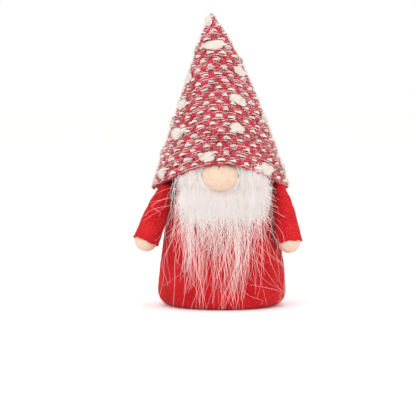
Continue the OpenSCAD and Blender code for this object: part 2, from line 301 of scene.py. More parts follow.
def strandPiece(name, paths, radii, tone, material, sides=3, **more):
    # Many thin strands as one piece; tone is one number a strand, or one a point.
    points, faces = tubes(paths, radii, sides)
    tone = np.broadcast_to(tone.reshape(len(paths), -1), paths.shape[:2])
    return meshPiece(name, points, faces, material, tone=np.repeat(tone.ravel(), sides), **more)


def skinPoints(piece, count, seed):
    # Points and outward normals spread evenly over a piece, in millimetres.
    rng = np.random.default_rng(seed)
    mesh = piece.data
    area = np.zeros(len(mesh.polygons))
    mesh.polygons.foreach_get("area", area)
    pick = rng.choice(len(area), count, p=area / area.sum())
    centre, normal = np.zeros((2, len(area) * 3))
    mesh.polygons.foreach_get("center", centre)
    mesh.polygons.foreach_get("normal", normal)
    # 400 is 0.4 of a face's width, in millimetres
    spread = rng.normal(0, 1, (count, 3)) * np.sqrt(area[pick])[:, None] * 400
    normals = normal.reshape(-1, 3)[pick]
    spread -= normals * (spread * normals).sum(1)[:, None]
    return centre.reshape(-1, 3)[pick] * 1000 + spread, normals


def fuzzPiece(name, points, normals, fuzz, material, **more):
    # Short curled fibres that stand off a surface.
    rng = np.random.default_rng(fuzz["seed"])
    count = len(points)
    length = rng.uniform(*fuzz["length"], count)[:, None]
    side = rng.normal(0, 1, (count, 3))
    side = unit(side - normals * (side * normals).sum(1)[:, None])
    curl = unit(np.cross(normals, side) + rng.normal(0, 0.6, (count, 3)))
    stand = rng.uniform(*fuzz["stand"], count)[:, None]
    steps = np.linspace(0, 1, fuzz["points"])
    paths = np.stack([
        points + length * (side * s * (1 - stand) + normals * stand * math.sin(2.2 * s)
                           + curl * 0.35 * s * s) for s in steps], 1)
    radii = rng.uniform(*fuzz["radius"], count)[:, None] * (1 - 0.6 * steps)[None]
    return strandPiece(name, paths, radii, rng.uniform(*fuzz["tone"], count), material, **more)


# ---- the body bag ----

feltNap = {"stand": (0.25, 0.7), "radius": (0.025, 0.045), "points": 3, "tone": (0.0, 1.0)}

bagShape = {
    "cornerR": 6.5, "bodyR": 29.4, "neckR": 24.0, "neckZ": 47.0, "crownZ": 73.0,
    "around": 120, "lumps": 0.35, "lumpSize": 17,
    # small waves of the felt where the base seam draws it in, and of the gathered top
    "pucker": 0.22, "puckers": 46, "puckerZ": 3.0, "puckerSpread": 2.6,
    "gather": 0.8, "gathers": 22, "gatherFrom": 60, "gatherRun": 10,
    "seamDepth": 0.45, "seamWidth": 0.8, "seamR": 26,
    "cloth": {"quality": 6, "mass": 0.4, "tension_stiffness": 25, "compression_stiffness": 25,
              "bending_stiffness": 4, "use_pressure": True, "uniform_pressure_force": 4.0,
              "vertex_group_mass": "pins"},
    "solveScale": 10, "frames": 16, "mostMove": 0.5, "pinBelow": 1.0, "pinAbove": 66,
    "fuzz": {**feltNap, "seed": 11, "length": (0.5, 1.1)}, "fuzzCount": 9000,
}


def bodyAt(z):
    # Radius of the body at height z.
    z = np.asarray(z, float)
    share = np.clip((z - bagShape["cornerR"]) / (bagShape["neckZ"] - bagShape["cornerR"]), 0, 1)
    side = bagShape["bodyR"] - (bagShape["bodyR"] - bagShape["neckR"]) * share ** 1.4
    up = np.clip((z - bagShape["neckZ"]) / (bagShape["crownZ"] - bagShape["neckZ"]), 0, 1)
    return np.where(z < bagShape["neckZ"], side, bagShape["neckR"] * (1 - up ** 1.4) ** 0.6)


def swell(piece, pinned, shape):
    # Settles a bag as pinned cloth under a slight inner pressure, enlarged so that the solver is
    # stable. It moves by about 0.1 mm, and the cap is for a solve that goes wrong.
    mesh = piece.data
    rest = np.zeros(len(mesh.vertices) * 3)
    mesh.vertices.foreach_get("co", rest)
    rest = rest.reshape(-1, 3)
    mesh.vertices.foreach_set("co", (rest * shape["solveScale"]).ravel())
    group = piece.vertex_groups.new(name="pins")
    group.add([int(i) for i in pinned], 1.0, "REPLACE")
    cloth = piece.modifiers.new("cloth", "CLOTH")
    for setting, value in shape["cloth"].items():
        setattr(cloth.settings, setting, value)
    cloth.settings.effector_weights.gravity = 0
    cloth.point_cache.frame_end = shape["frames"] + 2
    for step in range(1, shape["frames"] + 1):
        scene.frame_set(step)
    shown = piece.evaluated_get(bpy.context.evaluated_depsgraph_get())
    moved = np.zeros(len(rest) * 3)
    shown.data.vertices.foreach_get("co", moved)
    moved = moved.reshape(-1, 3) / shape["solveScale"]
    piece.modifiers.remove(cloth)
    piece.vertex_groups.clear()
    scene.frame_set(1)
    step = moved - rest
    far = np.linalg.norm(step, axis=1, keepdims=True)
    most = shape["mostMove"] * 0.001
    step *= np.where(far > 0, most * np.tanh(far / most) / np.maximum(far, 1e-12), 0)
    mesh.vertices.foreach_set("co", (rest + step).ravel())
    mesh.update()


def makeBag():
    around = bagShape["around"]
    corner, baseR = bagShape["cornerR"], bagShape["bodyR"] - bagShape["cornerR"]
    profile = [(baseR + corner * math.sin(a), corner - corner * math.cos(a))
               for a in np.radians(np.linspace(0, 82, 9))]
    profile += [(float(bodyAt(z)), z) for z in np.linspace(corner, bagShape["neckZ"], 26)]
    up = np.array([0.1, 0.2, 0.3, 0.4, 0.5, 0.6, 0.7, 0.8, 0.87, 0.93, 0.97, 0.995])
    tops = bagShape["neckZ"] + (bagShape["crownZ"] - bagShape["neckZ"]) * up
    profile += [(float(bodyAt(z)), z) for z in tops]
    rings = lathe(profile, around)
    flat = rings.reshape(-1, 3)
    turn = np.tile(circle(around), len(profile))
    outward = unit(flat * [1, 1, 0])
    z = flat[:, 2]
    lump = ripple(flat, bagShape["lumpSize"], 3) * bagShape["lumps"]
    pucker = np.cos(turn * bagShape["puckers"]) * bagShape["pucker"]
    pucker *= np.exp(-((z - bagShape["puckerZ"]) / bagShape["puckerSpread"]) ** 2)
    gather = np.cos(turn * bagShape["gathers"]) * np.clip(
        (z - bagShape["gatherFrom"]) / bagShape["gatherRun"], 0, 1) * bagShape["gather"]
    fromSeam = (turn - math.pi) * bagShape["seamR"] / bagShape["seamWidth"]
    seam = -bagShape["seamDepth"] * np.exp(-fromSeam ** 2)
    flat = flat + outward * (lump * np.clip(z / 8, 0, 1) + pucker + gather + seam)[:, None]
    bag = gridPiece("bodyBag", flat.reshape(rings.shape), bodyFelt, caps=(False, True))
    pins = [i for i in range(len(flat)) if z[i] < bagShape["pinBelow"] or z[i] > bagShape["pinAbove"]]
    swell(bag, pins, bagShape)
    subdivide = bag.modifiers.new("smooth", "SUBSURF")
    subdivide.levels = subdivide.render_levels = 1
    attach(bag, "torso")
    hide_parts("body_bag")
    return bag


def makeBagFuzz(bag):
    points, normals = skinPoints(bag, bagShape["fuzzCount"], 5)
    keep = (points[:, 2] > 0.9) & (points[:, 2] < 62)
    fuzzPiece("bodyBagFuzz", points[keep], normals[keep], bagShape["fuzz"], feltFuzz,
              body="torso", slot="red_felt")


def makeBasePanel():
    # A felt disc with a turned, puckered rim that meets the bag.
    low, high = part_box("base_panel")
    radius = high.x * 1000
    turn = circle(96)
    outline = [(0.3, 0.0), (radius * 0.4, 0.0), (radius * 0.75, 0.0), (radius - 1.2, 0.02),
               (radius - 0.3, 0.2), (radius, 0.6), (radius - 0.3, 1.05), (radius - 1.5, 1.2),
               (radius * 0.5, 1.2), (0.3, 1.2)]
    rings = lathe(outline, 96)
    rim = np.array(outline)[:, 0] > radius * 0.9
    rings[rim, :, 0] += 0.12 * np.cos(turn * 40) * np.sin(turn)
    panel = gridPiece("basePanel", rings[:, ::-1], bodyFelt, body="torso", slot="red_felt")
    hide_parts("base_panel")


def makeStuffing(name, node, rings, body, seed):
    # A lump of fibre fill just inside its cover.
    flat = rings.reshape(-1, 3)
    centre = flat.mean(0)
    flat = flat - unit(flat - centre) * (0.4 + 0.3 * ripple(flat, 6, seed))[:, None]
    fill = gridPiece(name, flat.reshape(rings.shape), fibreFill, body=body, slot="fibre_fill")
    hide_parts(node)


def makeBodyFill():
    heights = np.concatenate([np.linspace(17, 46, 12), [52, 57, 62, 66, 69, 70.5]])
    outline = [(1.0, 16.6), (12, 16.4)] + [(max(0.5, float(bodyAt(z)) - 1.6), z) for z in heights]
    makeStuffing("bodyFill", "body_stuffing", lathe(outline, 60), "torso", 21)
    low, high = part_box("ballast_pouch")
    half, mid = (high.z - low.z) * 500, (high.z + low.z) * 500
    radius = high.x * 1000
    # the upper half of the pouch's outline, mirrored for the lower half
    upper = [(radius * 0.3, 1), (radius * 0.75, 1), (radius - half * 0.7, 0.94), (radius - 1.2, 0.5)]
    outline = [(r, -up) for r, up in upper] + [(radius, 0)] + upper[::-1]
    rings = lathe([(r, mid + half * up) for r, up in outline], 72)
    flat = rings.reshape(-1, 3)
    flat = flat - unit(flat * [1, 1, 0]) * (0.25 + 0.25 * ripple(flat, 5, 8))[:, None]
    pouch = gridPiece("sandPouch", flat.reshape(rings.shape), pouchCloth, body="torso", slot="pouch_cloth")
    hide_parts("ballast_pouch")


def makeStitches(name, node, curves, radius, material, body, slot, sides=6):
    paths = np.stack(curves)
    steps = paths.shape[1]
    radii = np.full(paths.shape[:2], radius) * np.where(np.isin(np.arange(steps), (0, steps - 1)), 0.6, 1)
    tone = 0.5 + 0.3 * np.sin(np.arange(steps) * 1.9)[None] * np.ones((len(paths), 1))
    stitches = strandPiece(name, paths, radii, tone, material, sides=sides, body=body, slot=slot)
    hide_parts(node)


def makeBodySeams():
    # Thread of the closing seam at the back, of the base seam and of the gathered top.
    curves = []
    for z in np.arange(12, 40.5, 3.2):
        s = np.linspace(0, 1, 9)
        x = -1.5 + 3.0 * s
        lift = 0.35 + 0.35 * np.sin(math.pi * s)
        height = z + 0.5 * (s - 0.5)
        curves.append(np.stack([x, np.sqrt(bodyAt(height) ** 2 - x ** 2) + lift - 0.15, height], -1))
    makeStitches("closingSeam", "closing_stitches", curves, 0.27, sewingThread, "torso", "red_thread")
    low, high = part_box("base_seam_thread")
    radius, z0 = high.x * 1000 - 0.35, low.z * 1000 + 0.35
    curves = []
    for k in range(56):
        turn = (k + np.linspace(0.1, 0.75, 7)) * 2 * math.pi / 56
        dip = 0.12 * np.sin(np.linspace(0, math.pi, 7))
        curves.append(onCircle(radius + dip, turn, z0 - dip))
    makeStitches("baseSeam", "base_seam_thread", curves, 0.26, sewingThread, "torso", "red_thread")
    low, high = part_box("crown_gather_thread")
    turn = np.linspace(0, 2 * math.pi, 60)
    ring = onCircle(3, turn, high.z * 1000 - 0.4 + 0.25 * np.sin(turn * 9))
    makeStitches("crownGather", "crown_gather_thread", [ring], 0.35, sewingThread, "torso", "red_thread")


bag = makeBag()
makeBagFuzz(bag)
makeBasePanel()
makeBodyFill()
makeBodySeams()
print("body made")


# ---- the hat ----

woolNap = {"length": (1.0, 2.6), "stand": (0.15, 0.7), "radius": (0.03, 0.055)}

hatShape = {
    "tipZ": 134.0, "sideZ": 54.9, "sideR": 31.2, "depth": 0.89, "flatter": 0.03, "fullness": 0.82,
    "brimFront": 66.2, "brimBack": 53.4, "arch": 4.2, "centreX": -0.8, "lean": 5.0,
    "drape": 7.6, "drapeAngle": 27.0, "drapeHeight": 13.0,
    # the purl side of a bulky knit: a line of arcs each half row, every second line half a stitch along
    "lines": 20, "stitchWidth": 6.6, "step": 0.5, "ground": 1.15, "loose": 1.0,
    "lastLine": 0.974,
    # strands of each line: height from the line and radius, in millimetres
    "crimson": [(-1.45, 0.44), (-0.72, 0.42), (0.0, 0.4), (0.72, 0.42), (1.45, 0.44)],
    "marled": [(-0.4, 0.27), (0.0, 0.31), (0.4, 0.27), (1.3, 0.17), (-1.3, 0.17)],
    "part": 0.6, "crimsonOut": -0.55, "marledOut": -0.55, "marledRise": 1.05,
    # how far marled strands that are thin rise, stand off, and where thin begins
    "thinRise": 0.2, "thinOut": 0.25, "thinFrom": 1,
    "fuzzCount": 16000, "fuzz": {**woolNap, "seed": 12, "points": 3, "tone": (0.15, 1.0)},
}


def brimZ(turn):
    rise = hatShape["brimFront"] - hatShape["brimBack"]
    return hatShape["brimBack"] + rise * ((1 + np.cos(turn)) / 2) ** hatShape["arch"]


def hatPoint(turn, share, inset=0.0):
    # A point on the hat: share is 0 at the tip and 1 at the brim; inset goes inwards.
    turn, share, inset = np.broadcast_arrays(np.asarray(turn, float), share, inset)
    z = hatShape["tipZ"] - (hatShape["tipZ"] - brimZ(turn)) * share
    span = hatShape["tipZ"] - hatShape["sideZ"]
    half = hatShape["sideR"] * (np.clip(hatShape["tipZ"] - z, 0, None) / span) ** hatShape["fullness"]
    rise = np.clip((z - hatShape["sideZ"]) / span, 0, 1)
    midX = hatShape["centreX"] - (hatShape["lean"] + hatShape["centreX"]) * rise ** 3
    away = np.degrees((turn + math.pi) % (2 * math.pi) - math.pi)
    push = hatShape["drape"] * np.exp(-(away / hatShape["drapeAngle"]) ** 2)
    push = push * np.exp(-(np.clip(z - hatShape["brimFront"], 0, None) / hatShape["drapeHeight"]) ** 2)
    deep = half * (hatShape["depth"] + hatShape["flatter"] * np.cos(turn))
    wide = np.maximum(0.15, half - inset)
    deep = np.maximum(0.15, deep - inset) + push
    return np.stack([midX + wide * np.sin(turn), -deep * np.cos(turn), z], -1)


def hatNormal(turn, share):
    step = 0.004
    across = hatPoint(turn + step, share) - hatPoint(turn - step, share)
    down = hatPoint(turn, np.minimum(share + step, 1.02)) - hatPoint(turn, share - step)
    return unit(np.cross(down, across))


def yarnLine(line):
    # One line of arcs round the hat: turns, share, normals, and how far into an arc each point is,
    # from about -1 to 1.
    share = hatShape["lastLine"] * (line + 0.55) / (hatShape["lines"] + 0.55)
    ring = hatPoint(np.linspace(0, 2 * math.pi, 60), share)
    length = np.linalg.norm(np.diff(ring, axis=0), axis=1).sum()
    stitches = max(3, round(length / hatShape["stitchWidth"]))
    turn = np.linspace(-math.pi, math.pi, max(24, int(length / hatShape["step"])))
    place = np.stack([np.sin(turn), np.cos(turn), np.full_like(turn, line)], -1)
    drift = hatShape["loose"] * ripple(place * 3, 0.5, 3 + line)
    arc = np.cos(stitches * turn + math.pi * (line % 2) + drift) + 0.3 * ripple(place * 5, 0.4, 60 + line)
    return turn, share, hatNormal(turn, np.full_like(turn, share)), arc


def makeYarn():
    # The knitting: crimson strands part round arcs of off-white strands, which come up and dive
    # again. The strands run in lines and are not looped into each other.
    parts = {"crimson": [[], [], [], 0], "marled": [[], [], [], 0]}
    for line in range(hatShape["lines"] + 1):
        turn, share, normal, arc = yarnLine(line)
        base = hatPoint(turn, share)
        down = unit(hatPoint(turn, np.minimum(share + 0.01, 1.02)) - hatPoint(turn, share - 0.01))
        slim = min(1.0, 0.4 + np.linalg.norm(base[:, :2], axis=1).mean() / 8)
        pitch = slim * (hatShape["tipZ"] - brimZ(turn)) / (hatShape["lines"] * 3.55)
        for name, part in parts.items():
            for k, (height, radius) in enumerate(hatShape[name]):
                wave = ripple(base + [k * 40.0, 0, line * 9.0], 3.2, 20 + k)
                fine = ripple(base + [k * 70.0, 5, line * 9.0], 1.3, 40 + k)
                if name == "crimson":
                    away = np.sign(height) * hatShape["part"] * np.where(arc > 0, arc, 0.6 * arc)
                    dip = 0.35 if height == 0 else 0
                    out = hatShape["crimsonOut"] + 0.3 * wave + 0.25 * fine - dip * arc
                    lift = height + away + 0.35 * wave
                else:
                    # the almond of each arc is widest at its middle; the thin strands wander
                    thin = abs(height) > hatShape["thinFrom"]
                    rise = hatShape["thinRise" if thin else "marledRise"]
                    out = hatShape["marledOut"] + rise * arc + 0.75 * wave
                    out = out + (hatShape["thinOut"] if thin else 0)
                    lift = height * (1 if thin else np.clip(arc, 0.2, 1)) + 0.3 * wave + 0.2 * fine
                place = base - down * (lift * pitch)[:, None] + normal * (out * slim)[:, None]
                size = radius * slim * (1 + 0.3 * fine)
                points, faces = tubes(place[None], size[None], 4, lift=normal[None])
                part[0].append(points)
                part[1].append(faces + part[3])
                # tone follows the same wave that sinks a strand: painted shade where it dips, on top of the
                # yarn's own uneven colour
                part[2].append(np.repeat(np.clip(0.5 + 0.7 * wave, 0, 1), 4))
                part[3] += len(points)
    for name, material in (("crimson", crimsonWool), ("marled", marledWool)):
        points, faces, tone = (np.concatenate(p) for p in parts[name][:3])
        meshPiece(name + "Yarn", points, faces, material, body="torso", slot="red_marled_knit", tone=tone)


def makeHatGround():
    # The closed cloth under the strands, painted a deeper red as the shade in the gaps between them.
    turn = circle(120)
    outer = [hatPoint(turn, share, hatShape["ground"]) for share in np.linspace(0.03, 0.985, 54)]
    rim = [hatPoint(turn, 1.0, 1.3), hatPoint(turn, 1.0, 2.2)]
    inner = [hatPoint(turn, share, 2.4) for share in np.linspace(0.98, 0.12, 24)]
    rings = np.stack(outer + rim + inner)
    ground = gridPiece("hatGround", rings, knitGroundShade, body="torso", slot="red_marled_knit")
    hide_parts("hat_knit")


slubs = {
    # turn and height of each lump of cream wool, then its width and height
    "places": [(-40, 130.2, 3.4, 4.8), (0, 119, 9.5, 3.4), (50, 107.3, 6.2, 4.2), (-72, 104, 5.0, 6.5),
               (27, 94.7, 7.8, 4.8), (-64, 92.6, 6.4, 5.0), (19, 81.3, 7.0, 4.8), (-54, 79.3, 8.0, 4.2),
               (-12, 69.2, 8.4, 3.4), (-64, 61.2, 6.6, 4.6), (46, 63, 7.0, 5.2), (76, 86, 6.0, 4.4),
               (86, 63, 6.0, 4.2), (80, 57.5, 3.6, 2.8), (104, 74, 6.6, 4.6), (-98, 70, 6.6, 4.6),
               (-92, 84, 6.0, 4.6), (118, 93, 6.4, 4.4), (-120, 96, 6.4, 4.4), (134, 62, 7.0, 4.4),
               (-134, 61, 6.6, 4.4), (148, 80, 7.0, 4.6), (-146, 82, 7.0, 4.6), (-162, 66, 6.6, 4.2),
               (163, 66, 5.6, 4.2), (160, 104, 6.0, 4.2), (-150, 110, 6.0, 4.0), (110, 112, 5.6, 4.0),
               (-104, 117, 5.0, 4.0), (150, 121, 4.6, 3.6)],
    "height": 1.0, "outset": 0.35, "lumps": 0.62,
    "fuzz": {**woolNap, "seed": 31, "points": 4, "tone": (0.5, 1.0)}, "fuzzCount": 8000,
}


def makeSlubs():
    # Loose lumps of cream wool that bulge out of the lines.
    points, faces, start = [], [], 0
    a, b = np.meshgrid(np.linspace(0, math.pi, 20), circle(32), indexing="ij")
    ball = np.stack([np.cos(a), np.sin(a) * np.cos(b), np.sin(a) * np.sin(b)], -1).reshape(-1, 3)
    for k, (turn, z, width, height) in enumerate(slubs["places"]):
        turn = math.radians(turn)
        share = (hatShape["tipZ"] - z) / (hatShape["tipZ"] - brimZ(turn))
        share = min(float(share), 0.985)
        centre = hatPoint(turn, share)
        normal = hatNormal(turn, share)
        across = unit(hatPoint(turn + 0.02, share) - hatPoint(turn - 0.02, share))
        up = np.cross(normal, across)
        rough = np.clip(1 + slubs["lumps"] * ripple(ball + k * 5.3, 1.15, k, 3), 0.5, 1.6)
        size = ball * rough[:, None] * [width / 2, height / 2, slubs["height"]]
        points.append(centre + normal * slubs["outset"] + size[:, :1] * across + size[:, 1:2] * up
                      + size[:, 2:] * normal)
        faces.append(ringFaces(20, 32) + start)
        start += len(ball)
    lumps = meshPiece("woolSlubs", np.concatenate(points), np.concatenate(faces), creamWool,
                      body="torso", slot="red_marled_knit", tone=np.full(start, 0.75))
    where, normals = skinPoints(lumps, slubs["fuzzCount"], 6)
    fuzzPiece("woolSlubFuzz", where, normals, slubs["fuzz"], creamWool, body="torso", slot="red_marled_knit")


def makeHatFuzz():
    rng = np.random.default_rng(8)
    turn = rng.uniform(-math.pi, math.pi, hatShape["fuzzCount"])
    share = 0.02 + 0.978 * rng.random(hatShape["fuzzCount"]) ** 0.55
    normal = hatNormal(turn, share)
    fuzzPiece("hatFuzz", hatPoint(turn, share) - normal * 0.3, normal, hatShape["fuzz"], woolFuzz,
              body="torso", slot="red_marled_knit")


def makeHatSeam():
    # Yarn sewn over the join at the back of the hat, and the stuffing inside.
    curves = []
    for z in np.arange(hatShape["brimBack"] + 1.5, 124, 2.9):
        share = (hatShape["tipZ"] - z) / (hatShape["tipZ"] - hatShape["brimBack"])
        half = min(2.3, 12 * share) / max(4.0, 28 * share)
        s = np.linspace(-1, 1, 11)
        turn = math.pi + s * half
        arch = 0.35 + 0.75 * np.cos(s * math.pi / 2)
        curves.append(hatPoint(turn, share - 0.008 * s) + hatNormal(turn, share + 0 * s) * arch[:, None])
    makeStitches("hatBackSeam", "hat_seam_yarn", curves, 0.5, crimsonWool, "torso", "red_marled_knit")
    turn = circle(60)
    rings = np.stack([hatPoint(turn, share, 3.2) for share in np.linspace(0.13, 0.72, 16)])
    makeStuffing("hatFill", "hat_stuffing", rings, "torso", 23)


makeYarn()
makeHatGround()
makeSlubs()
makeHatFuzz()
makeHatSeam()
print("hat made")


# ---- wooden nose and hands ----

turnedWood = {
    "around": 72, "rings": 36, "wobble": 0.06, "flat": 0.985, "flatTop": 3.7, "flatSlope": 0.53,
    "checkAngle": -4.0, "checkWidth": 0.26, "checkDepth": 1.1, "checkFrom": 0.38, "checkTo": 1.1,
    "noseFiner": 3, "pole": 0.06,
}


def woodBall(name, node, radiusX, radiusZ, body, seed, check=False):
    # A turned and sanded wooden ball with small flats at its poles, over its CAD solid's middle.
    low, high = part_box(node)
    centre = (np.array(low) + np.array(high)) * 500
    if node == "nose":
        centre[1] = low.y * 1000 + radiusX
    finer = turnedWood["noseFiner"] if check else 1
    top = math.pi / 2 - turnedWood["pole"]
    lat, turn = np.meshgrid(np.linspace(-top, top, turnedWood["rings"] * finer),
                            circle(turnedWood["around"] * finer), indexing="ij")
    shape = np.stack([np.cos(lat) * np.sin(turn), -np.cos(lat) * np.cos(turn),
                      np.clip(np.sin(lat), -turnedWood["flat"], turnedWood["flat"])], -1)
    wobble = 1 + turnedWood["wobble"] / radiusX * ripple(shape.reshape(-1, 3), 0.6, seed).reshape(lat.shape)
    if check:
        # a drying check that opens at the top of the nose
        away = (np.degrees(turn) + 180) % 360 - 180 - turnedWood["checkAngle"]
        near = np.exp(-(np.abs(np.radians(away)) * radiusX * np.cos(lat) / turnedWood["checkWidth"]) ** 2)
        along = np.clip((lat - turnedWood["checkFrom"]) / 0.25, 0, 1)
        along = along * np.clip((turnedWood["checkTo"] - lat) / 0.2, 0, 1)
        wobble = wobble - turnedWood["checkDepth"] / radiusX * near * along
    points = centre + shape * wobble[..., None] * [radiusX, radiusX, radiusZ]
    if node == "nose":
        # the glued side is sanded flat, square to the face
        rise = points[..., 2] - centre[2] - turnedWood["flatTop"]
        points[..., 1] = np.minimum(points[..., 1], high.y * 1000 + turnedWood["flatSlope"] * rise - 0.05)
    ball = gridPiece(name, points, bareBeech, body=body, slot="natural_wood")
    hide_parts(node)
    return ball


woodBall("noseBall", "nose", 8.2, 7.2, "torso", 2, check=True)
for side in ("left", "right"):
    woodBall(side + "HandBall", side + "_hand", 5.22, 5.22, side + "_arm", 3 if side == "left" else 5)
print("wood made")


# ---- sleeves ----

sleeveShape = {
    "x": 25.9, "y": -8.0, "z": 52.6, "length": 24.6, "cuffR": 6.05, "pinchX": 2.9, "pinchY": 4.6,
    "above": 4.2, "felt": 0.7, "around": 72, "wrinkle": 0.28, "wrinkleSize": 4.5, "fuller": 0.9,
    "splay": {"left": 11.5, "right": 21.5}, "tilt": {"left": 16.0, "right": 9.0},
    "fuzz": {**feltNap, "seed": 41, "length": (0.5, 1.0)}, "fuzzCount": 2200,
}


def atShoulder(points, side):
    # Takes points from a sleeve hanging straight down from its shoulder to the figure.
    sign = 1 if side == "left" else -1
    tilt, splay = math.radians(sleeveShape["tilt"][side]), math.radians(sleeveShape["splay"][side])
    x, y, z = points[..., 0], points[..., 1], points[..., 2]
    y, z = y * math.cos(tilt) + z * math.sin(tilt), z * math.cos(tilt) - y * math.sin(tilt)
    x, z = x * math.cos(splay) - z * sign * math.sin(splay), z * math.cos(splay) + x * sign * math.sin(splay)
    return np.stack([x + sign * sleeveShape["x"], y + sleeveShape["y"], z + sleeveShape["z"]], -1)


def sleeveRing(s, inset, turn, seed):
    share = np.clip(s / sleeveShape["length"], 0, 1)
    wide = sleeveShape["pinchX"] + (sleeveShape["cuffR"] - sleeveShape["pinchX"]) * share ** 0.8
    deep = sleeveShape["pinchY"] + (sleeveShape["cuffR"] - 0.2 - sleeveShape["pinchY"]) * share
    if s < 0:
        close = math.sqrt(max(0.0, 1 - (s / (sleeveShape["above"] + 0.05)) ** 4))
        wide, deep = wide * max(0.25, close), deep * max(0.25, close)
    ring = np.stack([(wide - inset) * np.cos(turn), (deep - inset) * np.sin(turn),
                     np.full(len(turn), -s)], -1)
    # the sleeve is fuller on both sides than its closed end
    full = sleeveShape["fuller"] * math.exp(-((s - 9) / 9) ** 2) * np.cos(turn)
    ring[:, 0] += full
    crease = ripple(ring * [0.6, 0.6, 1.4] + seed * 9.0, sleeveShape["wrinkleSize"], seed)
    fold = 0.5 * np.exp(-((s - 3) / 4) ** 2) * np.cos(turn * 5 + seed)
    outward = unit(ring * [1, 1, 0])
    return ring + outward * (sleeveShape["wrinkle"] * crease * (1 - 0.4 * share) + 0.5 * fold)[:, None]


def makeSleeve(side):
    seed = 1 if side == "left" else 2
    turn = -circle(sleeveShape["around"])
    last = sleeveShape["length"]
    # the cut edge of the cuff is not quite straight
    cut = 0.25 * np.sin(turn * 3 + seed) + 0.15 * np.sin(turn * 7)
    outer = [sleeveRing(s, 0, turn, seed) for s in np.linspace(-sleeveShape["above"], last - 0.15, 40)]
    edge = [sleeveRing(last, sleeveShape["felt"] * k, turn, seed) for k in (0.12, 0.5, 0.88)]
    inner = [sleeveRing(s, sleeveShape["felt"], turn, seed) for s in np.linspace(last - 0.2, last - 8, 8)]
    rings = np.stack(outer + edge + inner)
    near = np.clip((-rings[..., 2] - last + 6) / 6, 0, 1)
    rings[..., 2] += near * cut
    rings = atShoulder(rings, side)
    sleeve = gridPiece(side + "SleeveFelt", rings, sleeveFelt, slot="red_felt")
    sign = 1 if side == "left" else -1
    points, normals = skinPoints(sleeve, sleeveShape["fuzzCount"], 50 + seed)
    fuzz = fuzzPiece(side + "SleeveFuzz", points, normals, sleeveShape["fuzz"], feltFuzz, slot="red_felt")
    shoulder = np.array([sign * sleeveShape["x"], sleeveShape["y"], sleeveShape["z"]])
    for piece in (sleeve, fuzz):
        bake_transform(piece)
    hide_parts(side + "_sleeve")
    rings = np.stack([sleeveRing(s, 1.3, turn[::2], seed) for s in np.linspace(-0.2, last - 7.5, 8)])
    makeStuffing(side + "SleeveFill", side + "_sleeve_stuffing", atShoulder(rings, side),
                 side + "_arm", 60 + seed)
    # stitches that tack the pinched end to the body
    s = np.linspace(0, 1, 9)
    curves = [np.stack([np.full(9, -1.6 * sign), k + np.cos(math.pi * s),
                        3.0 + 1.1 * np.sin(math.pi * s)], -1) + shoulder for k in (-0.4, 0.4)]
    makeStitches(side + "ShoulderTack", side + "_shoulder_thread", curves, 0.18, sewingThread,
                 side + "_shoulder", "red_thread")


for side in ("left", "right"):
    makeSleeve(side)
print("sleeves made")


# ---- the beard ----

beardShape = {
    "foldZ": 51.0, "topZ": 65.0, "tipZ": 2.0, "halfWidth": 19.0, "taper": 5.0, "topTaper": 4, "bend": 42.0,
    "blendFrom": 53.5, "blendTo": 48.5, "offset": 0.15, "backing": 0.8, "backingEnd": 42.0,
    "downTop": 63.5, "downEnd": 48.5, "downThick": 2.2,
}

# where the hair parts round the nose: its middle, its squash in height, and the room it needs
noseGap = {"x": -1, "z": 60.7, "squash": 1.12, "hair": 8.9, "down": 8.6}

# each lot of hair: how many, root heights, lengths, thickness, stand-off and waviness
usualHair = {"radius": (0.055, 0.09), "wave": 1.1, "clump": 0.7, "width": 1.0, "tone": (0.1, 1.0),
             "lean": 2.2}
hairLots = [
    # the deep lot's tones stop short of the lightest: painted shade for the hair that lies under the rest
    {**usualHair, "name": "beardHairDeep", "seed": 71, "count": 2700, "rootZ": (43.5, 64), "length": (4, 10),
     "radius": (0.07, 0.12), "stand": (1.8, 3.4), "wave": 0.7, "tone": (0.0, 0.7), "lean": 2.0},
    {**usualHair, "name": "beardHairTop", "seed": 72, "count": 2600, "rootZ": (51, 65), "length": (7, 15),
     "stand": (2.4, 4.6), "width": 1.08},
    {**usualHair, "name": "beardHairBrow", "seed": 74, "count": 2700, "rootZ": (61, 67.5), "length": (9, 22),
     "stand": (4.5, 8.0), "clump": 0.65, "width": 1.24, "front": (24.0, 27.2)},
    {**usualHair, "name": "beardHairMiddle", "seed": 73, "count": 230, "rootZ": (43, 56), "length": (12, 36),
     "radius": (0.035, 0.055), "stand": (1.8, 3.6), "wave": 2.4, "clump": 0.5, "tone": (0.3, 1.0),
     "lean": 6.5},
]

# long locks: where each grows and ends (x, z), how many hairs, and how wide it spreads at its end
locks = {
    "places": [(-17, 52, -16, 17, 30, 0.9), (-14, 50, -14.5, 8, 12, 1.2), (-12, 48, -11, 26, 7, 2.6),
               (-9, 50, -12, 14, 3, 2.6), (-5, 47, -8.5, 5, 3, 2.8), (-4, 52, 1, 16, 3, 2.9),
               (-1, 50, -6, 24, 3, 2.9), (1, 49, 5, 7, 4, 2.6), (1, 52, 6, 26, 5, 2.2),
               (6, 50, 6.5, 5, 14, 1.0), (9, 50, 9, 12, 18, 1.1), (13, 48, 8, 3, 6, 2.4),
               (13, 52, 16, 24, 6, 2.4), (17, 50, 11, 5, 3, 2.7), (18, 51, 18.5, 30, 7, 1.8),
               (-18.5, 54, -20.5, 30, 12, 1.6), (-20, 58, -21.5, 40, 12, 1.3), (12, 46, 17, 10, 3, 3.0),
               (20, 56, 21.5, 36, 10, 1.4), (-3, 46, 3, 3, 3, 3.0), (4, 48, -4, 6, 3, 2.5)],
    "radius": (0.038, 0.064), "seed": 75,
}

